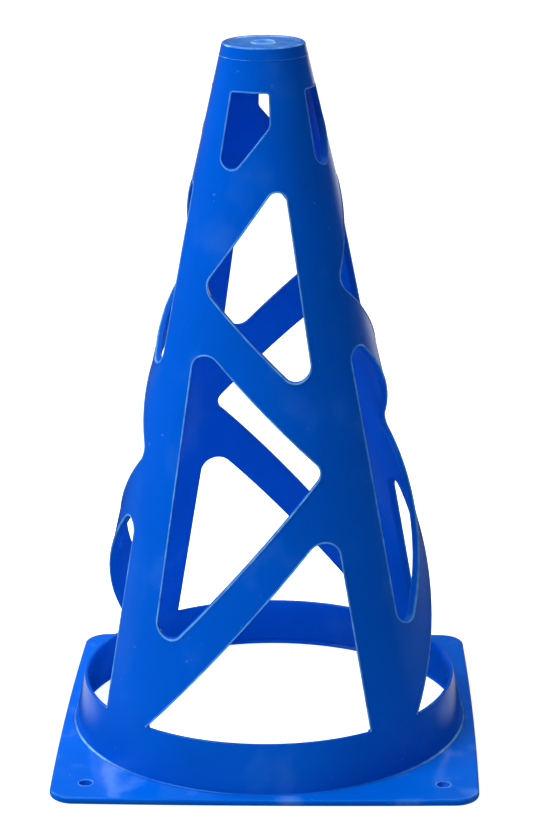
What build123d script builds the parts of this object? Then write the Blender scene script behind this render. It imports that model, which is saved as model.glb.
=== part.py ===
# Collapsible sports marker cone, moulded in soft polyethylene: a square foot plate, a low collar,
# an open lattice wall of four legs and eight braces, a crown with four windows and a closed cap.
# Millimetres, +Z up, origin on the floor at the middle of the plate, front face towards -Y.
import os
from math import hypot, radians, sin

from build123d import *

# Heights, stacked from the floor up
plate_thickness = 2.2
collar_height = 15.8
lattice_height = 164.0
crown_height = 44.0
cap_height = 4.0

# Cone wall: outer radii where its straight side meets the floor and the top
foot_radius = 66.1
top_radius = 13.1
wall = 2.0

# Square foot plate with slightly bowed sides, and a peg hole near each corner. The collar spreads
# into a toe on the plate, and a narrow land is left between the toe and the middle of each side.
collar_toe = 1.2
plate_land = 2.2
plate_bow = 1.0
plate_corner_radius = 8.0
plate_edge_bevel = 0.6
peg_spacing = 114.0
peg_hole_radius = 2.1

# Upright edges of the openings, in degrees round the cone from the middle of a face
left_edge_angle = 38.8
right_edge_foot_angle = 33.0
right_edge_knot_angle = 27.2
right_edge_apex_angle = 16.7

# Braces of one face: lower ones rise to the knot on the right, upper ones rise from it to the left.
# The levels are where a brace's middle line crosses the two upright edges.
lower_brace_width = 12.4
lower_brace_left_rise = 9.6
lower_brace_right_rise = 75.0
upper_brace_width = 12.5
upper_brace_right_rise = 92.3
upper_brace_left_drop = 33.2
knot_rise = 82.0
apex_rise = 9.2
brace_root = 10.0
brace_margin = 3.0

# Rounded corners of the openings
upper_opening_left_radius = 5.0
upper_opening_apex_radius = 3.0
upper_opening_right_radius = 4.3
middle_opening_left_radius = 4.6
middle_opening_right_radius = 3.8
middle_opening_foot_radius = 4.0
lower_opening_apex_radius = 5.3

# Crown windows, measured down from the seam under the cap
window_head_drop = 9.7
window_head_left_angle = 36.0
window_right_angle = 6.9
window_height = 10.0
window_tail = 20.7
window_sill_radius = 3.0

# Closed top
cap_thickness = 2.0
cap_edge_bevel = 0.8

faces = ("front", "right", "back", "left")
corners = ("front_right", "back_right", "back_left", "front_left")

collar_rim = plate_thickness + collar_height
crown_foot = collar_rim + lattice_height
cap_seam = crown_foot + crown_height
cone_height = cap_seam + cap_height
wall_slope = (foot_radius - top_radius) / cone_height
wall_across = wall * hypot(1, wall_slope)
quarter_turn = 360 / len(faces)


def outer_radius(level):
    """Radius of the outer wall at a height above the floor."""
    return foot_radius - wall_slope * level


def inner_radius(level):
    """Radius of the inner wall at a height above the floor."""
    return outer_radius(level) - wall_across


def on_face(angle, level):
    """Front view of the point that lies angle degrees round the wall, to the right, at a height."""
    return Vector(outer_radius(level) * sin(radians(angle)), level)


def shifted(line, distance):
    """The line, given by two points, moved sideways to the left of its direction."""
    start, end = line
    along = (end - start).normalized()
    across = Vector(-along.Y, along.X) * distance
    return start + across, end + across


def at_level(line, level):
    """Point of a line, given by two points, at a height above the floor."""
    start, end = line
    return start + (end - start) * ((level - start.Y) / (end.Y - start.Y))


def meet(line, other):
    """Crossing point of two lines, each given by two points."""
    along = line[1] - line[0]
    other_along = other[1] - other[0]
    gap = other[0] - line[0]
    share = gap.cross(other_along).Z / along.cross(other_along).Z
    return line[0] + along * share


# Straight lines of one face, seen from its front: the upright edges run upwards, the braces to the right
apex = on_face(right_edge_apex_angle, crown_foot + apex_rise)
left_edge = (on_face(-left_edge_angle, collar_rim), on_face(-left_edge_angle, crown_foot))
right_edge_knot = on_face(right_edge_knot_angle, collar_rim + knot_rise)
right_edge_low = (on_face(right_edge_foot_angle, collar_rim), right_edge_knot)
right_edge_high = (right_edge_knot, apex)
below_rim = (Vector(-foot_radius, plate_thickness), Vector(foot_radius, plate_thickness))

lower_brace_line = (
    on_face(-left_edge_angle, collar_rim + lower_brace_left_rise),
    at_level(right_edge_low, collar_rim + lower_brace_right_rise),
)
lower_brace_top = shifted(lower_brace_line, lower_brace_width / 2)
lower_brace_bottom = shifted(lower_brace_line, -lower_brace_width / 2)

upper_brace_line = (
    on_face(-left_edge_angle, crown_foot - upper_brace_left_drop),
    at_level(right_edge_high, collar_rim + upper_brace_right_rise),
)
upper_brace_top = shifted(upper_brace_line, upper_brace_width / 2)
upper_brace_bottom = shifted(upper_brace_line, -upper_brace_width / 2)

# The three openings of the front face, cut straight through the wall as a mould slide leaves them
upper_opening_left = meet(upper_brace_top, left_edge)
upper_opening_right = meet(upper_brace_top, right_edge_high)
middle_opening_right = meet(upper_brace_bottom, lower_brace_top)
middle_opening_left = meet(upper_brace_bottom, left_edge)
middle_opening_foot = meet(lower_brace_top, left_edge)
lower_opening_apex = meet(lower_brace_bottom, right_edge_low)
lower_opening_left = meet(lower_brace_bottom, below_rim)
lower_opening_right = meet(right_edge_low, below_rim)

with BuildPart() as face_openings:
    with BuildSketch(Plane.XZ):
        with BuildLine():
            FilletPolyline(
                upper_opening_left,
                upper_opening_right,
                apex,
                radius=[upper_opening_left_radius, upper_opening_right_radius, upper_opening_apex_radius],
                close=True,
            )
        make_face()
        with BuildLine():
            FilletPolyline(
                middle_opening_left,
                middle_opening_foot,
                middle_opening_right,
                radius=[middle_opening_left_radius, middle_opening_foot_radius, middle_opening_right_radius],
                close=True,
            )
        make_face()
        with BuildLine():
            FilletPolyline(
                lower_opening_left,
                lower_opening_apex,
                lower_opening_right,
                radius=lower_opening_apex_radius,
            )
            Line(lower_opening_right, lower_opening_left)
        make_face()
    extrude(amount=foot_radius)

# Four windows in the crown, with an upright right side and a sloping sill that ends in a narrow tail
window_head = cap_seam - window_head_drop
window_sill_right = window_head - window_height
window_sill_left = window_sill_right - window_tail

with BuildPart() as face_window:
    with BuildSketch(Plane.XZ):
        with BuildLine():
            head_left = on_face(-window_head_left_angle, window_head)
            head_right = on_face(window_right_angle, window_head)
            FilletPolyline(
                head_left,
                on_face(-left_edge_angle, window_sill_left),
                on_face(window_right_angle, window_sill_right),
                head_right,
                radius=window_sill_radius,
            )
            Line(head_right, head_left)
        make_face()
    extrude(amount=foot_radius)

# Whole lattice wall from the collar's rim to the crown, before it is divided
with BuildPart() as lattice:
    with BuildSketch(Plane.XZ):
        with BuildLine():
            Polyline(
                (inner_radius(collar_rim), collar_rim),
                (outer_radius(collar_rim), collar_rim),
                (outer_radius(crown_foot), crown_foot),
                (inner_radius(crown_foot), crown_foot),
                close=True,
            )
        make_face()
    revolve(axis=Axis.Z)
    with PolarLocations(0, len(faces)):
        add(face_openings.part, mode=Mode.SUBTRACT)


def brace_field(brace_line, width, right_edge):
    """Outline of one brace between its two roots, a little wider than the brace."""
    top = shifted(brace_line, width / 2 + brace_margin)
    bottom = shifted(brace_line, -width / 2 - brace_margin)
    left_root = shifted(left_edge, -brace_root)
    right_root = shifted(right_edge, brace_root)
    return (
        meet(bottom, left_root),
        meet(bottom, right_root),
        meet(top, right_root),
        meet(top, left_root),
    )


with BuildPart() as lower_brace_space:
    with BuildSketch(Plane.XZ):
        with BuildLine():
            Polyline(*brace_field(lower_brace_line, lower_brace_width, right_edge_low), close=True)
        make_face()
    extrude(amount=foot_radius)

with BuildPart() as upper_brace_space:
    with BuildSketch(Plane.XZ):
        with BuildLine():
            Polyline(*brace_field(upper_brace_line, upper_brace_width, right_edge_high), close=True)
        make_face()
    extrude(amount=foot_radius)

# One of each lattice piece: the braces of the front face, and the leg at its right-hand corner
with BuildPart() as lower_brace:
    add(lattice.part)
    add(lower_brace_space.part, mode=Mode.INTERSECT)

with BuildPart() as upper_brace:
    add(lattice.part)
    add(upper_brace_space.part, mode=Mode.INTERSECT)

with BuildPart() as legs:
    add(lattice.part)
    with PolarLocations(0, len(faces)):
        add(lower_brace_space.part, mode=Mode.SUBTRACT)
        add(upper_brace_space.part, mode=Mode.SUBTRACT)

with BuildPart() as leg:
    add(legs.part.solids().sort_by(Axis((0, 0, 0), (1, -1, 0)))[-1])

# Square foot plate with its bowed sides, the hollow under the cone and four peg holes
with BuildPart() as base_plate:
    with BuildSketch():
        with BuildLine():
            bowed_half = outer_radius(plate_thickness) + collar_toe + plate_land
            half_width = bowed_half - plate_bow
            ThreePointArc((-half_width, -half_width), (0, -bowed_half), (half_width, -half_width))
            ThreePointArc((half_width, -half_width), (bowed_half, 0), (half_width, half_width))
            ThreePointArc((half_width, half_width), (0, bowed_half), (-half_width, half_width))
            ThreePointArc((-half_width, half_width), (-bowed_half, 0), (-half_width, -half_width))
        outline = make_face()
        fillet(outline.vertices(), plate_corner_radius)
    extrude(amount=plate_thickness)
    chamfer(base_plate.faces().sort_by(Axis.Z)[-1].outer_wire().edges(), plate_edge_bevel)
    with BuildSketch(Plane.XZ):
        with BuildLine():
            Polyline(
                (0, 0),
                (inner_radius(0), 0),
                (inner_radius(plate_thickness), plate_thickness),
                (0, plate_thickness),
                close=True,
            )
        make_face()
    revolve(axis=Axis.Z, mode=Mode.SUBTRACT)
    with GridLocations(peg_spacing, peg_spacing, 2, 2):
        Hole(peg_hole_radius)
base_plate.part.label = "base_plate"

# Low collar that carries the legs, with a short sloping toe where it runs out onto the plate
with BuildPart() as collar:
    with BuildSketch(Plane.XZ):
        with BuildLine():
            foot_outer = Vector(outer_radius(plate_thickness), plate_thickness)
            up_the_wall = Vector(-wall_slope, 1).normalized()
            Polyline(
                (inner_radius(plate_thickness), plate_thickness),
                foot_outer + Vector(collar_toe, 0),
                foot_outer + up_the_wall * collar_toe,
                (outer_radius(collar_rim), collar_rim),
                (inner_radius(collar_rim), collar_rim),
                close=True,
            )
        make_face()
    revolve(axis=Axis.Z)
collar.part.label = "collar"

# Crown: the closed part of the wall above the lattice, with its windows and the tips of the openings
with BuildPart() as crown:
    with BuildSketch(Plane.XZ):
        with BuildLine():
            Polyline(
                (inner_radius(crown_foot), crown_foot),
                (outer_radius(crown_foot), crown_foot),
                (outer_radius(cap_seam), cap_seam),
                (inner_radius(cap_seam), cap_seam),
                close=True,
            )
        make_face()
    revolve(axis=Axis.Z)
    with PolarLocations(0, len(faces)):
        add(face_openings.part, mode=Mode.SUBTRACT)
        add(face_window.part, mode=Mode.SUBTRACT)
crown.part.label = "crown"

# Cap: a short skirt and the closed top, with a bevelled rim
with BuildPart() as top_cap:
    with BuildSketch(Plane.XZ):
        with BuildLine():
            cap_ceiling = cone_height - cap_thickness
            Polyline(
                (0, cap_ceiling),
                (inner_radius(cap_ceiling), cap_ceiling),
                (inner_radius(cap_seam), cap_seam),
                (outer_radius(cap_seam), cap_seam),
                (top_radius, cone_height),
                (0, cone_height),
                close=True,
            )
        make_face()
    revolve(axis=Axis.Z)
    chamfer(top_cap.faces().sort_by(Axis.Z)[-1].outer_wire().edges(), cap_edge_bevel)
top_cap.part.label = "top_cap"

os.makedirs("parts", exist_ok=True)
for piece in (base_plate, collar, crown, top_cap):
    export_step(piece.part, f"parts/{piece.part.label}.step")

# The lattice pieces repeat at every quarter turn
for master, name, places in (
    (leg, "leg", corners),
    (lower_brace, "lower_brace", faces),
    (upper_brace, "upper_brace", faces),
):
    for turn, place in enumerate(places):
        with BuildPart() as copy:
            add(master.part, rotation=(0, 0, turn * quarter_turn))
        copy.part.label = f"{name}_{place}"
        export_step(copy.part, f"parts/{name}_{place}.step")
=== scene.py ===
from functools import partial

import bpy
import numpy as np
from mathutils import Matrix
from mathutils.geometry import delaunay_2d_cdt


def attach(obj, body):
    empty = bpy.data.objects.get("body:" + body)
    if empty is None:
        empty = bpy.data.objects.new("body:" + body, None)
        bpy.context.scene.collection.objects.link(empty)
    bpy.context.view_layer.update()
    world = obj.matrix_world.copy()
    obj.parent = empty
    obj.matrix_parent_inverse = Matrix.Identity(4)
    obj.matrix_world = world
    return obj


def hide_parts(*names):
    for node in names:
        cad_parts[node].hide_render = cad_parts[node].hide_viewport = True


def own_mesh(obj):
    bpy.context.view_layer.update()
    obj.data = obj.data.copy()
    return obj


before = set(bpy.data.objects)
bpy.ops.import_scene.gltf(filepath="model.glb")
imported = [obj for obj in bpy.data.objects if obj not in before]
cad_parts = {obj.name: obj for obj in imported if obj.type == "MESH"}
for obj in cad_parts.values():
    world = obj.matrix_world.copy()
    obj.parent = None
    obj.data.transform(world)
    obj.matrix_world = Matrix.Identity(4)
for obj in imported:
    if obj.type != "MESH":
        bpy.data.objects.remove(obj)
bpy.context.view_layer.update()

# Foot plate: the square flange that the cone stands on, soft polyethylene moulded in one with the wall.
# Its sides bow out a little, its corners are round, and a plain hole for a ground peg is near each corner.
# Its blue is painted lighter than the wall's, painted light for the light that falls on its upper side.
plate_thickness = 0.0022
plate_half_width = 0.067993
plate_bow = 0.001
plate_corner_radius = 0.008
plate_round = 0.0007
plate_opening_radius = 0.0640
plate_step = 0.003
plate_cell = np.radians(1.8)
side_points = 45
circle_points = 256
peg_reach = 0.057
peg_hole_radius = 0.0021
hole_round = 0.0003
hole_lip = 0.0002
flash_foot = 0.0003
flash_drop = 0.00003
# The wall's blue painted lighter: painted light for the light on the plate's upper side.
plate_blue_painted_lighter = (0.0, 0.148, 0.84)
dust_blue = (0.3, 0.5, 0.9)
pale_patch_blue = (0.22, 0.5, 1.0)
# Pale blue of the painted highlights on lips of flash, the collar's toe and the cap.
painted_highlight_blue = (0.22, 0.62, 1.0)
gloss_tint = (0.2, 0.8, 1.0, 1)
gloss_strength = 0.3


def corner_arc(before, corner, after, radius, count=17):
    """Points of the arc that rounds a corner. A point of an outline is one complex number. The arc touches
    both sides at radius / tan(half the angle) from the corner, about a centre on the bisector."""
    back = (before - corner) / abs(before - corner)
    ahead = (after - corner) / abs(after - corner)
    half = abs(np.angle(ahead / back)) / 2
    bisector = (back + ahead) / abs(back + ahead)
    centre = corner + bisector * radius / np.sin(half)
    start = corner + back * radius / np.tan(half) - centre
    end = corner + ahead * radius / np.tan(half) - centre
    return centre + start * np.exp(1j * np.angle(end / start) * np.linspace(0, 1, count))


def divided(path, rimmed, spacing):
    """A path with its long runs cut into equal steps no longer than the spacing, and the rim mark of each
    step, from one mark for each run or one for all."""
    run = np.diff(path)
    steps = np.maximum(np.ceil(abs(run) / spacing), 1).astype(int)
    run_of = np.repeat(np.arange(len(run)), steps)
    step_of = np.arange(len(run_of)) - np.repeat(np.cumsum(steps) - steps, steps)
    points = path[run_of] + run[run_of] * step_of / steps[run_of]
    return np.append(points, path[-1]), np.broadcast_to(np.asarray(rimmed, float), run.shape)[run_of]


def inset_way(path, rimmed):
    """Way that each inner point of a path goes as its outline shrinks by one unit. The plastic is on the
    right of the path: the point ends one unit to the right of a rimmed run, and on the line of a run that has
    no rim."""
    run = np.diff(path)
    right = -1j * run / abs(run)
    before, after = right[:-1], right[1:]
    rim_before, rim_after = rimmed[:-1], rimmed[1:]
    cross = (np.conj(before) * after).imag
    straight = abs(cross) < 1e-4
    corner = 1j * (rim_after * before - rim_before * after) / np.where(straight, 1, cross)
    return np.where(straight, rim_before * before, corner)


def rim_profile(thickness, rounding, flash_share, count=5):
    """Inset, depth and share of flash down a moulded edge: the sloping foot of the flash, a quarter round
    that starts where the mould halves shut, which is where the flash stands, the straight cut and a second
    quarter round. The share of flash sets the height of the lip and its painted highlight."""
    swing = np.linspace(0, np.pi / 2, count)
    inset = rounding * (1 - np.sin(swing))
    depth = rounding - (rounding - flash_drop) * np.cos(swing)
    flash = flash_share * np.sqrt(np.linspace(1, 0, count))
    slope = np.array([0, 0.5])
    return (
        np.concatenate([rounding + flash_foot * (1 - slope), inset, inset[::-1]])[:, None],
        np.concatenate([flash_drop * slope, depth, thickness - depth[::-1]])[:, None],
        np.concatenate([flash_share * slope, flash, 0 * flash])[:, None],
    )


def edge_columns(points, rimmed, way, profile, lip, place):
    """Columns (turn, radius, level, painted highlight) of an edge profile carried along the points of an
    outline.
    The lip of flash stands on rimmed runs only, and there its share of flash is painted pale, a painted
    highlight."""
    inset, depth, flash = profile
    flash = flash * np.maximum(rimmed, np.roll(rimmed, 1))
    return np.concatenate([place(points + inset * way, depth - lip * flash), flash[..., None]], axis=-1)


def closed_loop(outline, rimmed, profile, lip, place, spacing):
    """An edge profile carried round a closed outline, with the rim mark of each step."""
    points, rimmed = divided(np.append(outline, outline[0]), rimmed, spacing)
    way = inset_way(np.append(points[-2], points), np.append(rimmed[-1], rimmed))
    return edge_columns(points[:-1], rimmed, way, profile, lip, place), rimmed


def upright(points):
    """Points (turn, radius, level, ...) as x, y, z. The turn starts at the front and grows to the right."""
    turn, radius, level = np.moveaxis(points[..., :3], -1, 0)
    return np.stack([radius * np.sin(turn), -radius * np.cos(turn), level], axis=-1)


def skin(rows, cell, lean, level_at):
    """Triangles of one skin of a slab, between its outline rows. The skin is laid out flat by its turn and by
    its radius to the power 1 / sin(lean), which keeps small shapes, and filled with a net of cells that are
    as high as they are wide, clear of the outline."""
    clearance = 0.7 * cell
    inside_without_holes = 2
    same_point = 1e-9
    outline = np.concatenate(rows)
    turn, radius = outline[:, 0], outline[:, 1]
    largest = radius.max()
    turns = np.arange(turn.min(), turn.max(), cell)
    radii = np.exp(np.arange(np.log(radius.min()), np.log(largest), cell * np.sin(lean)))
    net_turn, net_radius = (axis.ravel() for axis in np.meshgrid(turns, radii))
    flat = (radius / largest) ** (1 / np.sin(lean)) * np.exp(1j * turn)
    net = (net_radius / largest) ** (1 / np.sin(lean)) * np.exp(1j * net_turn)
    clear = abs(net[:, None] - flat).min(axis=1) > clearance * abs(net)
    net_points = np.stack([net_turn, net_radius, level_at(net_radius), 0 * net_radius], axis=-1)[clear]
    flat = np.append(flat, net[clear])
    loops = np.split(np.arange(len(outline)), np.cumsum([len(row) for row in rows])[:-1])
    _, _, triangles, origins, _, _ = delaunay_2d_cdt(
        np.stack([flat.real, flat.imag], axis=-1).tolist(),
        [],
        [loop.tolist() for loop in loops],
        inside_without_holes,
        same_point,
    )
    first_origin = np.array([origin[0] for origin in origins])
    return net_points, first_origin[np.array(triangles)]


def slab(loops, cell, lean, level_outside, level_inside):
    """A wall of even thickness that lies on a cone whose outward side leans up from level by lean: an edge
    strip along each loop, and two skins. Edge normals come from the strip, skin normals from the cone."""
    points, normals, faces, outer_rows, inner_rows = [], [], [], [], []
    begin = 0
    for columns, rimmed in loops:
        strip = upright(columns)
        index = begin + np.arange(strip[..., 0].size).reshape(strip.shape[:2])
        ahead = np.roll(index, -1, axis=1)
        run = np.roll(strip, -1, axis=1) - strip
        run *= (rimmed + 1e-6)[:, None] / np.linalg.norm(run, axis=-1, keepdims=True)
        edge_normal = np.cross(run + np.roll(run, 1, axis=1), np.gradient(strip, axis=0))
        points.append(columns.reshape(-1, 4))
        normals.append(edge_normal.reshape(-1, 3))
        faces.append(np.stack([index[:-1], ahead[:-1], ahead[1:], index[1:]], axis=-1).reshape(-1, 4))
        outer_rows.append(index[0])
        inner_rows.append(index[-1])
        begin += index.size
    points, normals = np.concatenate(points), np.concatenate(normals)
    for rows, level_at, outward in ((outer_rows, level_outside, 1), (inner_rows, level_inside, -1)):
        net, triangles = skin([points[row] for row in rows], cell, lean, level_at)
        skin_index = np.concatenate([*rows, len(points) + np.arange(len(net))])
        points = np.concatenate([points, net])
        normals = np.concatenate([normals, np.zeros((len(net), 3))])
        turn = points[skin_index, 0]
        out, up = np.cos(lean), np.full_like(turn, np.sin(lean))
        normals[skin_index] = outward * np.stack([out * np.sin(turn), -out * np.cos(turn), up], axis=-1)
        faces.append(skin_index[triangles[:, ::outward]])
    return upright(points), normals, points[:, 3], faces


def moulding(name, shape, material):
    """A piece from its points, normals, painted highlight and blocks of faces, without points that no face
    uses.
    """
    points, normals, painted_highlight, faces = shape
    used = np.zeros(len(points), bool)
    used[np.concatenate([block.ravel() for block in faces])] = True
    new_index = np.cumsum(used) - 1
    mesh = bpy.data.meshes.new(name)
    face_list = [face for block in faces for face in new_index[block].tolist()]
    mesh.from_pydata(points[used].tolist(), [], face_list)
    mesh.polygons.foreach_set("use_smooth", np.ones(len(mesh.polygons), bool))
    unit = normals[used] / np.maximum(np.linalg.norm(normals[used], axis=1, keepdims=True), 1e-12)
    mesh.normals_split_custom_set_from_vertices(unit.tolist())
    mesh.attributes.new("painted_highlight", "FLOAT", "POINT").data.foreach_set("value", painted_highlight[used])
    mesh.materials.append(material)
    piece = bpy.data.objects.new(name, mesh)
    bpy.context.scene.collection.objects.link(piece)
    return piece


def soft_plastic(name, blue, waviness, pale_patching):
    """Moulded soft polyethylene: a blue that clouds a little, with dust, pale cloudy patches and a painted
    highlight put over it in turn, a gloss that varies from place to place, and a fine grain on slow waves
    from uneven cooling."""
    material = bpy.data.materials.new(name)
    material.use_nodes = True
    nodes, link = material.node_tree.nodes, material.node_tree.links.new
    shader = nodes["Principled BSDF"]
    place = nodes.new("ShaderNodeTexCoord").outputs["Object"]

    def noise(scale, detail):
        texture = nodes.new("ShaderNodeTexNoise")
        texture.inputs["Scale"].default_value = scale
        texture.inputs["Detail"].default_value = detail
        link(place, texture.inputs["Vector"])
        return texture.outputs["Fac"]

    def ramp(factor, start, start_colour, end, end_colour):
        colours = nodes.new("ShaderNodeValToRGB")
        stops = ((start, start_colour), (end, end_colour))
        for element, (position, colour) in zip(colours.color_ramp.elements, stops):
            element.position = position
            element.color = (*colour, 1)
        link(factor, colours.inputs["Fac"])
        return colours.outputs["Color"]

    def patches(scale, detail, start, low, end, high):
        return ramp(noise(scale, detail), start, [low] * 3, end, [high] * 3)

    def painted(below, amount, colour):
        mix = nodes.new("ShaderNodeMix")
        mix.data_type = "RGBA"
        link(amount, mix.inputs["Factor"])
        link(below, mix.inputs["A"])
        mix.inputs["B"].default_value = (*colour, 1)
        return mix.outputs["Result"]

    def bump(height, strength, distance, below=None):
        relief = nodes.new("ShaderNodeBump")
        relief.inputs["Strength"].default_value = strength
        relief.inputs["Distance"].default_value = distance
        link(height, relief.inputs["Height"])
        if below:
            link(below, relief.inputs["Normal"])
        return relief.outputs["Normal"]

    dark_cloud = [0.93 * share for share in blue]
    pale_cloud = [1.06 * share for share in blue]
    clouded = ramp(noise(scale=28, detail=3), 0.3, dark_cloud, 0.7, pale_cloud)
    dust = patches(scale=420, detail=2, start=0.735, low=0, end=0.79, high=0.22)
    # Pale cloudy patches in random places, strongest on the plate.
    pale_patches = patches(scale=55, detail=5, start=0.56, low=0, end=0.72, high=pale_patching)
    # Painted highlight: each piece's pale attribute, broken up by ragged noise, mixes in a pale blue.
    painted_highlight = nodes.new("ShaderNodeAttribute")
    painted_highlight.attribute_name = "painted_highlight"
    flash = nodes.new("ShaderNodeMath")
    flash.operation = "MULTIPLY"
    link(painted_highlight.outputs["Fac"], flash.inputs[0])
    link(patches(scale=260, detail=3, start=0.35, low=0.3, end=0.6, high=0.7), flash.inputs[1])
    dusted = painted(clouded, dust, dust_blue)
    pale_patched = painted(dusted, pale_patches, pale_patch_blue)
    link(painted(pale_patched, flash.outputs["Value"], painted_highlight_blue), shader.inputs["Base Color"])
    link(patches(scale=75, detail=4, start=0.3, low=0.12, end=0.7, high=0.2), shader.inputs["Roughness"])
    shader.inputs["Specular IOR Level"].default_value = gloss_strength
    shader.inputs["Specular Tint"].default_value = gloss_tint
    waves = bump(noise(scale=38, detail=1), strength=1, distance=waviness)
    grain = bump(noise(scale=900, detail=2), strength=0.1, distance=0.00002, below=waves)
    link(grain, shader.inputs["Normal"])
    return material


def on_plate(points, depth):
    """Turn, radius and level of plan points at a depth below the top of the plate."""
    level = np.broadcast_to(plate_thickness - depth, points.shape)
    return np.stack([np.angle(1j * points), abs(points), level], axis=-1)


def plate_top(radius):
    """Height of the plate's upper side, the same at every radius."""
    return np.full_like(radius, plate_thickness)


lower_right = plate_half_width * (1 - 1j)
side_end = plate_half_width - plate_corner_radius
along_side = np.linspace(side_end, -side_end, side_points)
side_bow = plate_bow * (1 - (along_side / plate_half_width) ** 2)
right_side = plate_half_width + side_bow + 1j * along_side
bow_slope = 2 * plate_bow / plate_half_width
round_corner = corner_arc(
    lower_right + (1j + bow_slope) * plate_half_width,
    lower_right,
    lower_right - (1 + 1j * bow_slope) * plate_half_width,
    plate_corner_radius,
)
quarter_outline = np.concatenate([right_side[1:-1], round_corner])
plate_outline = np.concatenate([quarter_outline * (-1j) ** turn for turn in range(4)])
circle = np.exp(2j * np.pi * np.arange(circle_points) / circle_points)
peg_circle = peg_hole_radius * circle[::8]
plate_edge = rim_profile(plate_thickness, plate_round, 0)
# The lips of the peg holes are painted pale in full, a painted highlight.
hole_edge = rim_profile(plate_thickness, hole_round, 1)
peg_places = [peg_reach * (1 + 1j) * 1j**turn for turn in range(4)]
plate_loops = [
    closed_loop(plate_outline, 1, plate_edge, 0, on_plate, plate_step),
    closed_loop(plate_opening_radius * circle, 1, plate_edge, 0, on_plate, plate_step),
    *(closed_loop(place + peg_circle, 1, hole_edge, hole_lip, on_plate, plate_step) for place in peg_places),
]
foot_plate = moulding(
    "foot_plate_moulding",
    slab(plate_loops, plate_cell, np.radians(90), plate_top, np.zeros_like),
    soft_plastic("soft_blue_plate_painted_lighter", plate_blue_painted_lighter, waviness=0.0014, pale_patching=0.3),
)
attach(foot_plate, "base")
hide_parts("base_plate")

# Collar: the low ring that ties the legs together at the foot. It is the cone's own moulded wall and spreads
# onto the plate in a small hollow curve. In the openings between the legs its rim is rounded outside and
# hollowed inside, and under each leg it is flat, where the wall runs on upwards. A pale line painted along
# the hollow curve at the sides is a painted highlight.
foot_radius = 0.0661
top_radius = 0.0131
cone_height = 0.230
wall_slope = (foot_radius - top_radius) / cone_height
wall = 0.002
wall_across = wall * np.hypot(1, wall_slope)
wall_lean = np.arctan(wall_slope)
collar_rim = 0.018
collar_toe = 0.0008
edge_round = 0.0004
opening_left_angle = np.radians(-37.47)
opening_right_angle = np.radians(33.0)
rim_fade_angle = np.radians(0.5)
flat_rim_share = 0.02
hollow_across = 0.0014
hollow_depth = 0.004
toe_highlight_angle = np.radians(66)
toe_highlight_spread = np.radians(20)
toe_highlight_strength = 1.4
wall_blue = (0.0, 0.108, 0.70)
quarter = np.pi / 2
wall_plastic = partial(soft_plastic, blue=wall_blue, waviness=0.0005, pale_patching=0.05)


def outer_radius(level):
    """Radius of the outer wall at a height above the floor."""
    return foot_radius - wall_slope * level


def turned(profile, turn, painted_highlight):
    """A profile of radius + 1j * level carried round the axis, with the plastic on its left. It may change
    with the turn. Normals stand square to the chord between a point's neighbours, and a point on the axis is
    one point."""
    profile = np.broadcast_to(profile, (len(profile), len(turn)))
    outward = -1j * np.gradient(profile, axis=0)
    outward = outward / abs(outward)
    points = np.stack([np.broadcast_to(turn, profile.shape), profile.real, profile.imag], axis=-1)
    normals = np.stack([outward.real * np.sin(turn), -outward.real * np.cos(turn), outward.imag], axis=-1)
    on_axis = profile[:, 0].real < 1e-9
    index = np.arange(profile.size).reshape(profile.shape)
    index[on_axis] = index[on_axis][:, :1]
    right = np.roll(index, -1, axis=1)
    quads = np.stack([index, right, np.roll(right, -1, axis=0), np.roll(index, -1, axis=0)], axis=-1)
    next_on_axis = np.roll(on_axis, -1)
    faces = [
        quads[~on_axis & ~next_on_axis].reshape(-1, 4),
        quads[on_axis & ~next_on_axis][..., 1:].reshape(-1, 3),
        quads[next_on_axis & ~on_axis][..., :3].reshape(-1, 3),
    ]
    return upright(points.reshape(-1, 3)), normals.reshape(-1, 3), painted_highlight.ravel(), faces


collar_foot = outer_radius(plate_thickness) + 1j * plate_thickness
rim_outer = outer_radius(collar_rim) + 1j * collar_rim
rim_inner = rim_outer - wall_across
inner_foot = collar_foot - wall_across
under_left_leg = np.linspace(-quarter / 2, opening_left_angle - rim_fade_angle, 9)
in_opening = np.linspace(opening_left_angle, opening_right_angle, 49)
under_right_leg = np.linspace(opening_right_angle + rim_fade_angle, quarter / 2, 9)[:-1]
in_face = np.concatenate([under_left_leg, in_opening, under_right_leg])
collar_turn = np.concatenate([in_face + face * quarter for face in range(4)])
face_share = np.repeat(
    [flat_rim_share, 1, flat_rim_share], [len(under_left_leg), len(in_opening), len(under_right_leg)]
)
rim_share = np.tile(face_share, 4)
along_plate = collar_foot + 1
toe = corner_arc(along_plate, collar_foot, rim_outer, collar_toe, 9)
outer_curve = corner_arc(collar_foot, rim_outer, rim_inner, edge_round, 7) - rim_outer
down_the_wall = (inner_foot - rim_inner) / (rim_inner - inner_foot).imag
swing = np.linspace(0, np.pi / 2, 13)
hollow = hollow_across * (1 - np.sin(swing)) + hollow_depth * (1 - np.cos(swing)) * down_the_wall
rim_curves = np.concatenate(
    [rim_outer + outer_curve[:, None] * rim_share, rim_inner + hollow[:, None] * rim_share]
)
up_the_wall = np.linspace(0, 1, 8)[1:-1, None]
every_turn = np.ones((1, len(collar_turn)))
collar_profile = np.concatenate(
    [
        (inner_foot + collar_toe / 2) * every_turn,
        toe[:, None] * every_turn,
        toe[-1] + (rim_curves[0] - toe[-1]) * up_the_wall,
        rim_curves,
        rim_curves[-1] + (inner_foot - rim_curves[-1]) * up_the_wall,
        inner_foot * every_turn,
    ]
)
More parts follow.
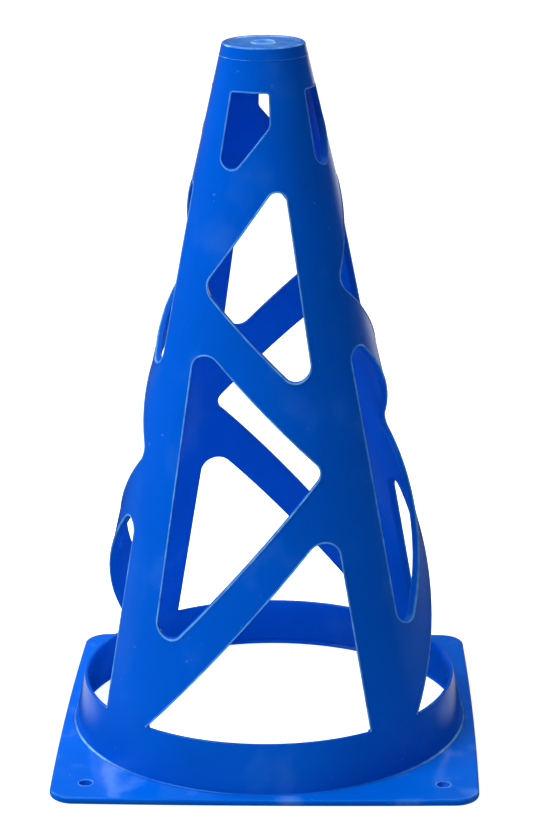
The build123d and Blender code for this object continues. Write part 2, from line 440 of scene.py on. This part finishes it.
# Painted highlight along the toe's hollow curve, strongest at the sides, in place of a glint of the lamps.
beside_angle = np.arcsin(abs(np.sin(collar_turn)))
painted_toe_highlight = np.exp(-(((beside_angle - toe_highlight_angle) / toe_highlight_spread) ** 2))
toe_painted_highlight = toe_highlight_strength * np.sin(np.linspace(0, np.pi, len(toe)))[:, None] * painted_toe_highlight
rows_above_toe = len(collar_profile) - 1 - len(toe)
collar_ring = moulding(
    "collar_moulding",
    turned(collar_profile, collar_turn, np.pad(toe_painted_highlight, ((1, rows_above_toe), (0, 0)))),
    wall_plastic("soft_blue_collar"),
)
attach(collar_ring, "base")
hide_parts("collar")

# Legs: the four upright strips at the corners of the lattice, with the stubs of the braces, moulded in one
# with the collar and cut free by the slides of the mould. The edges are straight in a front view of each face
# and run straight back through the wall.
crown_foot = 0.182
left_edge_angle = np.radians(38.8)
right_edge_foot_angle = np.radians(33.0)
right_edge_knot_angle = np.radians(27.2)
right_edge_apex_angle = np.radians(16.7)
knot_level = 0.100
apex_level = 0.1912
lower_brace_width = 0.0124
lower_brace_left_level = 0.0276
lower_brace_right_level = 0.0930
upper_brace_width = 0.0125
upper_brace_right_level = 0.1103
upper_brace_left_level = 0.1488
brace_root = 0.010
upper_left_round = 0.0050
upper_apex_round = 0.0030
upper_right_round = 0.0043
middle_left_round = 0.0046
middle_right_round = 0.0038
middle_foot_round = 0.0040
lower_apex_round = 0.0053
edge_step = 0.0016
wall_cell = np.radians(2.0)
# The lips of flash on the legs, braces and crown notches are painted pale in full, a painted highlight.
wall_edge = rim_profile(wall, edge_round, 1)
wall_edge_across = wall_edge[1] * wall_across / wall
wall_lip = 0.00028
corners = ("front_right", "back_right", "back_left", "front_left")


def on_face(angle, level):
    """Front view of a point of the outer wall, as across + 1j * level."""
    return outer_radius(level) * np.sin(angle) + 1j * level


def shifted(line, distance):
    """A line, given by two points, moved sideways to the left of its direction."""
    return line + 1j * (line[1] - line[0]) / abs(line[1] - line[0]) * distance


def at_level(line, level):
    """Point of a line at a height above the floor."""
    return line[0] + (line[1] - line[0]) * (level - line[0].imag) / (line[1] - line[0]).imag


def meet(line, other):
    """Crossing point of two lines: the share along the first is the ratio of two cross products."""
    along, other_along = line[1] - line[0], other[1] - other[0]
    share = (np.conj(other[0] - line[0]) * other_along).imag / (np.conj(along) * other_along).imag
    return line[0] + along * share


def on_wall(points, depth, face):
    """Turn, radius and level of front-view points at a depth in the wall, straight behind the outer skin."""
    across, level = points.real, points.imag
    share = depth / wall
    outer = outer_radius(level)
    inner = outer - wall_across
    out = (1 - share) * np.sqrt(outer**2 - across**2) + share * np.sqrt(inner**2 - across**2)
    return np.stack([np.arctan2(across, out) + face * quarter, np.hypot(across, out), level], axis=-1)


def joined(*stretches):
    """A path of rimmed stretches, with a cut between one and the next, where a brace goes on. Each run has a
    rim mark: 0 for a cut, and 1 for the rest."""
    path = np.concatenate([np.hstack(stretch) for stretch in stretches])
    lengths = [np.hstack(stretch).size for stretch in stretches]
    rimmed = np.ones(len(path) - 1)
    rimmed[np.cumsum(lengths)[:-1] - 1] = 0
    return path, rimmed


def open_run(path, rimmed, face, way_in, way_out):
    """The wall's edge profile carried along a path on one face. The outline comes in and goes on along level
    lines, in the directions way_in and way_out."""
    points, rimmed = divided(path, rimmed, edge_step)
    padded = np.concatenate([[points[0] - way_in], points, [points[-1] + way_out]])
    way = inset_way(padded, np.concatenate([[0], rimmed, [0]]))
    place = partial(on_wall, face=face)
    return edge_columns(points, np.append(rimmed, 0), way, wall_edge, wall_lip, place), rimmed


def level_columns(start, end):
    """Columns at equal turns between two columns on one level, without flash."""
    level = start[0, 2]
    steps = int(np.ceil(abs(end[0, 0] - start[0, 0]) / wall_cell))
    turn = np.linspace(start[:, 0], end[:, 0], steps + 1, axis=1)[:, 1:-1]
    radius = outer_radius(level) - wall_edge_across
    return np.stack(np.broadcast_arrays(turn, radius, level, 0.0), axis=-1)


def outer_level(radius):
    """Height of the outer skin at a radius."""
    return (foot_radius - radius) / wall_slope


def inner_level(radius):
    """Height of the inner skin at a radius."""
    return (foot_radius - wall_across - radius) / wall_slope


def quarter_turned(shape, turns):
    """A shape turned to the right by quarter turns."""
    points, normals, painted_highlight, faces = shape
    turn = np.array([[0, -1, 0], [1, 0, 0], [0, 0, 1]])
    spin = np.linalg.matrix_power(turn, turns).T
    return points @ spin, normals @ spin, painted_highlight, faces


apex = on_face(right_edge_apex_angle, apex_level)
knot = on_face(right_edge_knot_angle, knot_level)
left_edge = np.array([on_face(-left_edge_angle, collar_rim), on_face(-left_edge_angle, crown_foot)])
right_edge_low = np.array([on_face(right_edge_foot_angle, collar_rim), knot])
right_edge_high = np.array([knot, apex])
lower_brace = np.array(
    [on_face(-left_edge_angle, lower_brace_left_level), at_level(right_edge_low, lower_brace_right_level)]
)
lower_brace_top = shifted(lower_brace, lower_brace_width / 2)
lower_brace_bottom = shifted(lower_brace, -lower_brace_width / 2)
upper_brace = np.array(
    [on_face(-left_edge_angle, upper_brace_left_level), at_level(right_edge_high, upper_brace_right_level)]
)
upper_brace_top = shifted(upper_brace, upper_brace_width / 2)
upper_brace_bottom = shifted(upper_brace, -upper_brace_width / 2)
upper_left = meet(upper_brace_top, left_edge)
upper_right = meet(upper_brace_top, right_edge_high)
middle_right = meet(upper_brace_bottom, lower_brace_top)
middle_left = meet(upper_brace_bottom, left_edge)
middle_foot = meet(lower_brace_top, left_edge)
lower_apex = meet(lower_brace_bottom, right_edge_low)
lower_left = at_level(lower_brace_bottom, collar_rim)
left_slope = np.array([upper_left, apex])
left_root = shifted(left_edge, -brace_root)
right_root_low = shifted(right_edge_low, brace_root)
right_root_high = shifted(right_edge_high, brace_root)

rising_path, rising_marks = joined(
    (
        right_edge_low[0],
        corner_arc(right_edge_low[0], lower_apex, lower_left, lower_apex_round),
        meet(lower_brace_bottom, right_root_low),
    ),
    (
        meet(lower_brace_top, right_root_low),
        corner_arc(middle_foot, middle_right, middle_left, middle_right_round),
        meet(upper_brace_bottom, right_root_high),
    ),
    (
        meet(upper_brace_top, right_root_high),
        corner_arc(upper_left, upper_right, apex, upper_right_round),
        at_level(right_edge_high, crown_foot),
    ),
)
falling_path, falling_marks = joined(
    (
        at_level(left_slope, crown_foot),
        corner_arc(apex, upper_left, upper_right, upper_left_round),
        meet(upper_brace_top, left_root),
    ),
    (
        meet(upper_brace_bottom, left_root),
        corner_arc(middle_right, middle_left, middle_foot, middle_left_round),
        corner_arc(middle_left, middle_foot, middle_right, middle_foot_round),
        meet(lower_brace_top, left_root),
    ),
    (meet(lower_brace_bottom, left_root), lower_left),
)
rising, rising_rims = open_run(rising_path, rising_marks, 0, -1, 1)
falling, falling_rims = open_run(falling_path, falling_marks, 1, 1, -1)
head_columns = level_columns(rising[:, -1], falling[:, 0])
foot_columns = level_columns(falling[:, -1], rising[:, 0])
leg_loop = np.concatenate([rising, head_columns, falling, foot_columns], axis=1)
leg_rims = np.concatenate(
    [rising_rims, np.zeros(head_columns.shape[1] + 1), falling_rims, np.zeros(foot_columns.shape[1] + 1)]
)
leg_shape = slab([(leg_loop, leg_rims)], wall_cell, wall_lean, outer_level, inner_level)
leg_plastic = wall_plastic("soft_blue_leg")
for turns, place in enumerate(corners):
    leg = moulding(f"leg_moulding_{place}", quarter_turned(leg_shape, turns), leg_plastic)
    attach(leg, "base")
    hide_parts(f"leg_{place}")
    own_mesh(leg)

# Braces: two slanting strips of the same wall on each face, the lower rising to the right and the upper to
# the left. They tie the legs together and are moulded in one with them, so they go on from the stubs without
# a joint.
sides = ("front", "right", "back", "left")


def brace_shape(top, bottom, left_end, right_end):
    """A strip of the wall between two straight rimmed edges and two bare cuts."""
    top_run = [meet(top, left_end), meet(top, right_end)]
    bottom_run = [meet(bottom, right_end), meet(bottom, left_end)]
    outline = np.array(top_run + bottom_run)
    loop = closed_loop(outline, [1, 0, 1, 0], wall_edge, wall_lip, partial(on_wall, face=0), edge_step)
    return slab([loop], wall_cell, wall_lean, outer_level, inner_level)


brace_plastic = wall_plastic("soft_blue_brace")
lower_shape = brace_shape(lower_brace_top, lower_brace_bottom, left_root, right_root_low)
upper_shape = brace_shape(upper_brace_top, upper_brace_bottom, left_root, right_root_high)
for turns, place in enumerate(sides):
    for kind, shape in (("lower", lower_shape), ("upper", upper_shape)):
        brace = moulding(f"{kind}_brace_moulding_{place}", quarter_turned(shape, turns), brace_plastic)
        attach(brace, "base")
        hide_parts(f"{kind}_brace_{place}")
        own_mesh(brace)

# Crown: the closed wall above the lattice, moulded in one with the legs, which spread into it. The tops of
# the upper openings notch its foot, and each face has a window with a level head and a sill that falls to the
# left, cut by the same slides of the mould.
cap_seam = 0.226
window_head = 0.2163
window_sill_right = 0.2063
window_sill_left = 0.1856
window_head_left_angle = np.radians(36.0)
window_right_angle = np.radians(6.9)
window_head_round = 0.0008
window_sill_round = 0.003
window_lip = 0.0003
# The window lips stand and are painted pale at this share; the pale paint is a painted highlight.
window_flash_share = 0.6
window_step = 0.001
crown_cell = np.radians(3.0)
seam_points = 120

notch_path = np.hstack(
    [
        at_level(right_edge_high, crown_foot),
        corner_arc(upper_right, apex, upper_left, upper_apex_round),
        at_level(left_slope, crown_foot),
    ]
)
notches = [open_run(notch_path, 1, face, -1, -1) for face in (3, 2, 1, 0)]
crown_edge, crown_rims = [], []
for (notch, rims), (following, _) in zip(notches, notches[1:] + notches[:1]):
    start = following[:, 0].copy()
    start[:, 0] -= 2 * np.pi * (start[0, 0] > notch[0, -1, 0])
    between = level_columns(notch[:, -1], start)
    crown_edge += [notch, between]
    crown_rims += [rims, np.zeros(between.shape[1] + 1)]
window_corners = np.array(
    [
        on_face(-window_head_left_angle, window_head),
        on_face(-left_edge_angle, window_sill_left),
        on_face(window_right_angle, window_sill_right),
        on_face(window_right_angle, window_head),
    ]
)
window_rounds = (window_head_round, window_sill_round, window_sill_round, window_head_round)
corner_rows = zip(np.roll(window_corners, 1), window_corners, np.roll(window_corners, -1), window_rounds)
window_outline = np.concatenate([corner_arc(*row) for row in corner_rows])
window_edge = rim_profile(wall, edge_round, window_flash_share)
windows = [
    closed_loop(window_outline, 1, window_edge, window_lip, partial(on_wall, face=face), window_step)
    for face in range(4)
]
seam_turn = np.linspace(0, 2 * np.pi, seam_points, endpoint=False)
seam_radius = outer_radius(cap_seam) - wall_edge_across
seam_loop = np.stack(np.broadcast_arrays(seam_turn, seam_radius, cap_seam, 0.0), axis=-1)
crown_loops = [
    (np.concatenate(crown_edge, axis=1), np.concatenate(crown_rims)),
    (seam_loop, np.zeros(seam_points)),
    *windows,
]
crown_shape = slab(crown_loops, crown_cell, wall_lean, outer_level, inner_level)
crown = moulding("crown_moulding", crown_shape, wall_plastic("soft_blue_crown"))
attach(crown, "crown")
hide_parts("crown")

# Cap: the closed top of the cone, moulded in one with the crown. A fine line of flash runs round it at the
# seam of the mould, its edge is round, and the gate, where the plastic came in, leaves a low ring on a
# slightly dished disc. Painted highlights: the flash line is painted pale, plainest at the two sides, and so
# are the rim's round, the whole disc and the gate ring.
cap_thickness = 0.002
cap_round = 0.0008
disc_inset = 1.6 * cap_round
disc_sink = 1e-5
disc_dish = 0.00025
dish_slope = 0.001
disc_points = 60
gate_radius = 0.0036
gate_width = 0.0009
gate_height = 0.00035
flash_width = 0.0003
flash_height = 0.00012
# Strengths of the painted highlights: the flash line in front, then the rim's round, the disc and the gate
# ring.
flash_highlight_in_front = 0.15
rim_highlight_from = 0.2
rim_highlight_to = 0.9
painted_rim_highlight = 0.75
painted_disc_sheen = 0.42
painted_gate_glint = 0.9

ceiling = cone_height - cap_thickness
cap_top = outer_radius(cone_height) + 1j * cone_height
cap_foot = outer_radius(cap_seam) + 1j * cap_seam
disc_radius = np.linspace(outer_radius(cone_height) - disc_inset, 0, disc_points)
gate_ring = np.exp(-(((disc_radius - gate_radius) / (gate_width / 2)) ** 2))
dish = disc_dish * np.clip((disc_radius[0] - disc_radius) / dish_slope, 0, 1)
flash_rise = np.linspace(0, flash_width, 5)
flash_swell = np.sin(np.pi * flash_rise / flash_width)
# Painted highlight on the flash line, weaker in front and behind than at the two sides.
flash_highlight_by_turn = flash_highlight_in_front + (1 - flash_highlight_in_front) * np.sin(seam_turn) ** 2
edge_share = np.linspace(0, 1, 9)[:, None]
# Painted highlight on the rounded rim, between these shares of its arc.
on_rim_highlight = (edge_share > rim_highlight_from) & (edge_share < rim_highlight_to)
cap_runs = (
    (np.linspace(0, outer_radius(ceiling) - wall_across, 7) + 1j * ceiling, 0),
    (cap_foot - wall_across * np.array([1, 0.5]), 0),
    (
        outer_radius(cap_seam + flash_rise) + flash_height * flash_swell + 1j * (cap_seam + flash_rise),
        flash_swell[:, None] * flash_highlight_by_turn,
    ),
    (corner_arc(cap_foot, cap_top, 1j * cone_height, cap_round, len(edge_share)), painted_rim_highlight * on_rim_highlight),
    (
        disc_radius + 1j * (cone_height - dish + gate_height * gate_ring - disc_sink),
        painted_disc_sheen + painted_gate_glint * gate_ring[:, None],
    ),
)
cap_profile = np.concatenate([run for run, _ in cap_runs])
cap_painted_highlight = np.concatenate([np.broadcast_to(pale, (len(run), seam_points)) for run, pale in cap_runs])
cap = moulding(
    "cap_moulding", turned(cap_profile[:, None], seam_turn, cap_painted_highlight), wall_plastic("soft_blue_cap")
)
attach(cap, "crown")
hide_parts("top_cap")

# Camera: stands in front of the cone, a little to its right, and looks down on it. A fit to the cone's
# outline gave its place, and its focal length and sideways shift in pixels of a picture as high as
# picture_pixels.
view_turn = np.radians(1.8)
view_pitch = np.radians(17.61)
view_roll = np.radians(-0.501)
camera_distance = 0.8108
camera_height = 0.3635
sensor_size = 36
picture_pixels = 837
focal_pixels = 2598.9
shift_pixels = 3.78
camera = bpy.data.objects.new("camera", bpy.data.cameras.new("camera"))
bpy.context.scene.collection.objects.link(camera)
bpy.context.scene.camera = camera
camera.data.sensor_width = sensor_size
camera.data.lens = focal_pixels * sensor_size / picture_pixels
camera.data.shift_x = shift_pixels / picture_pixels
camera.data.clip_start = 0.01
camera.matrix_world = (
    Matrix.Rotation(view_turn, 4, "Z")
    @ Matrix.Translation((0, -camera_distance, camera_height))
    @ Matrix.Rotation(np.pi / 2 - view_pitch, 4, "X")
    @ Matrix.Rotation(view_roll, 4, "Z")
)

# Floor: a sheet of white paper, which is staging. The camera sees it nearly plain white, a little dimmer near
# the plate. A painted contact shadow, a darker narrow band round the plate, makes it bounce less light there;
# it also bounces less light far away, and gloss mirrors soft panels on it, which depend on the distance from
# the axis and on the bearing, from 0 at the left to 1 at the right.
floor_reach = 4
paper_roughness = 0.9
floor_mesh = bpy.data.meshes.new("floor")
floor_corners = [(floor_reach * x, floor_reach * y, 0) for x, y in ((-1, -1), (1, -1), (1, 1), (-1, 1))]
floor_mesh.from_pydata(floor_corners, [], [(0, 1, 2, 3)])
floor = bpy.data.objects.new("floor", floor_mesh)
bpy.context.scene.collection.objects.link(floor)
paper = bpy.data.materials.new("white_paper")
paper.use_nodes = True
floor_mesh.materials.append(paper)
nodes, link = paper.node_tree.nodes, paper.node_tree.links.new
paper_shader = nodes["Principled BSDF"]
paper_shader.inputs["Roughness"].default_value = paper_roughness
paper_shader.inputs["Specular IOR Level"].default_value = 0
paper_shader.inputs["Emission Color"].default_value = (1, 1, 1, 1)
ray = nodes.new("ShaderNodeLightPath").outputs
spot = nodes.new("ShaderNodeTexCoord").outputs["Object"]
spot_parts = nodes.new("ShaderNodeSeparateXYZ")
link(spot, spot_parts.inputs["Vector"])
across, away, _ = spot_parts.outputs
spot_length = nodes.new("ShaderNodeVectorMath")
spot_length.operation = "LENGTH"
link(spot, spot_length.inputs[0])
reach = spot_length.outputs["Value"]


def ramped(measure, *stops):
    """Strength by a measure from 0 to 1, in straight runs between stops of position and strength."""
    ramp = nodes.new("ShaderNodeValToRGB")
    elements = ramp.color_ramp.elements
    elements[0].position = stops[0][0]
    elements[1].position = stops[-1][0]
    for position, _ in stops[1:-1]:
        elements.new(position)
    for element, (_, strength) in zip(elements, stops):
        element.color = (strength, strength, strength, 1)
    link(measure, ramp.inputs["Fac"])
    return ramp.outputs["Color"]


def combined(operation, *measures):
    """Result of one step of arithmetic on measures, each of them a socket or a plain number."""
    result = nodes.new("ShaderNodeMath")
    result.operation = operation
    for measure, socket in zip(measures, result.inputs):
        if isinstance(measure, float):
            socket.default_value = measure
        else:
            link(measure, socket)
    return result.outputs["Value"]


seen_white = ramped(reach, (0.0, 0.95), (0.06, 0.9), (0.075, 0.82), (0.35, 1.0))
link(combined("MULTIPLY", ray["Is Camera Ray"], seen_white), paper_shader.inputs["Emission Strength"])
# Painted contact shadow: the paper is darker in a narrow band round the plate's edge.
square_reach = combined("MAXIMUM", combined("ABSOLUTE", across), combined("ABSOLUTE", away))
painted_contact_shadow = ramped(square_reach, (0.066, 1.0), (0.068, 0.2), (0.08, 1.0))
paper_white = ramped(reach, (0.25, 0.85), (0.6, 0.4))
link(combined("MULTIPLY", painted_contact_shadow, paper_white), paper_shader.inputs["Base Color"])
bearing = combined("MULTIPLY_ADD", combined("DIVIDE", across, reach), 0.5, 0.5)
beside = ramped(bearing, (0.04, 1.0), (0.12, 0.15), (0.3, 0.05), (0.7, 0.0), (0.75, 0.75))
close_by = ramped(reach, (0.079, 0.0), (0.088, 0.9), (0.11, 0.9), (0.127, 0.1), (0.22, 0.1), (0.3, 0.3))
far_away = ramped(bearing, (0.1, 0.02), (0.295, 0.1), (0.5, 0.6), (0.705, 1), (0.81, 0.7), (0.905, 0.15))
panels = nodes.new("ShaderNodeMix")
link(ramped(reach, (0.3, 0.0), (0.8, 1.0)), panels.inputs["Factor"])
link(combined("MULTIPLY", close_by, beside), panels.inputs["A"])
link(far_away, panels.inputs["B"])
behind = nodes.new("ShaderNodeMapRange")
behind.interpolation_type = "SMOOTHSTEP"
behind.inputs["From Min"].default_value = -0.01
behind.inputs["From Max"].default_value = 0.015
link(away, behind.inputs["Value"])
link(panels.outputs["Result"], behind.inputs["To Max"])
mirrored = nodes.new("ShaderNodeEmission")
link(behind.outputs["Result"], mirrored.inputs["Strength"])
either = nodes.new("ShaderNodeMixShader")
link(ray["Is Glossy Ray"], either.inputs["Fac"])
link(paper_shader.outputs["BSDF"], either.inputs[1])
link(mirrored.outputs["Emission"], either.inputs[2])
link(either.outputs["Shader"], nodes["Material Output"].inputs["Surface"])

# Room and lamps: a white studio with soft boxes at the left, above and behind, which is staging too. The
# small lamps inside the cone stand in for the light that shines through its left and far walls.
middle_height = 0.1
glow_size = 0.008
glow_colour = (0.0, 0.75, 1.0)
glow_turn = np.radians(58)
glow_strengths = {0.024: 2.3, 0.075: 1.3, 0.115: 1.3, 0.155: 1.5, 0.19: 1.6, 0.213: 1.7}
world = bpy.data.worlds.new("studio")
world.use_nodes = True
bpy.context.scene.world = world
nodes, link = world.node_tree.nodes, world.node_tree.links.new
room = nodes["Background"]
room.inputs["Color"].default_value = (1, 1, 1, 1)
ray = nodes.new("ShaderNodeLightPath").outputs
direction = nodes.new("ShaderNodeSeparateXYZ")
link(nodes.new("ShaderNodeTexCoord").outputs["Generated"], direction.inputs["Vector"])


def backdrop(front, back):
    """Strength of the room's light, from the camera's side to the far side."""
    strength = nodes.new("ShaderNodeMapRange")
    strength.interpolation_type = "SMOOTHSTEP"
    strength.inputs["From Min"].default_value = -0.2
    strength.inputs["From Max"].default_value = 0.9
    strength.inputs["To Min"].default_value = front
    strength.inputs["To Max"].default_value = back
    link(direction.outputs["Y"], strength.inputs["Value"])
    return strength.outputs["Result"]


def chosen(kind, without, with_it):
    """One of two strengths, by the kind of ray."""
    choice = nodes.new("ShaderNodeMix")
    link(ray[kind], choice.inputs["Factor"])
    link(without, choice.inputs["A"])
    link(with_it, choice.inputs["B"])
    return choice.outputs["Result"]


def softbox(name, turn, height, distance, width, depth, power):
    """A soft lamp that faces the cone, at a turn and a height above the horizon, both in degrees, and at a
    distance from the cone's middle."""
    lamp = bpy.data.lights.new(name, "AREA")
    lamp.shape = "RECTANGLE"
    lamp.size = width
    lamp.size_y = depth
    lamp.energy = power
    box = bpy.data.objects.new(name, lamp)
    box.matrix_world = (
        Matrix.Translation((0, 0, middle_height))
        @ Matrix.Rotation(np.radians(turn), 4, "Z")
        @ Matrix.Rotation(np.pi / 2 - np.radians(height), 4, "X")
        @ Matrix.Translation((0, 0, distance))
    )
    bpy.context.scene.collection.objects.link(box)


lit_or_mirrored = chosen("Is Glossy Ray", backdrop(front=0.1, back=0.55), backdrop(front=0.01, back=0.05))
link(chosen("Is Camera Ray", lit_or_mirrored, backdrop(front=1, back=1)), room.inputs["Strength"])
softbox("key_lamp", turn=-57, height=50, distance=1.2, width=0.7, depth=0.7, power=10.6)
softbox("side_lamp", turn=-120, height=29, distance=1.2, width=0.3, depth=0.4, power=4.2)
softbox("top_lamp", turn=0, height=90, distance=1.3, width=1.0, depth=1.0, power=4)
softbox("far_strip", turn=180, height=37, distance=1.3, width=1.8, depth=0.22, power=3)
for level, strength in glow_strengths.items():
    glimmer = bpy.data.lights.new("wall_glow", "AREA")
    glimmer.shape = "DISK"
    glimmer.size = glow_size
    glimmer.energy = strength * (outer_radius(level) - wall) ** 2
    glimmer.color = glow_colour
    through_wall = bpy.data.objects.new("wall_glow", glimmer)
    through_wall.location = (0, 0, level)
    through_wall.rotation_euler = (np.pi / 2, 0, glow_turn)
    through_wall.visible_camera = False
    through_wall.visible_glossy = False
    bpy.context.scene.collection.objects.link(through_wall)
bpy.context.scene.view_settings.view_transform = "Standard"
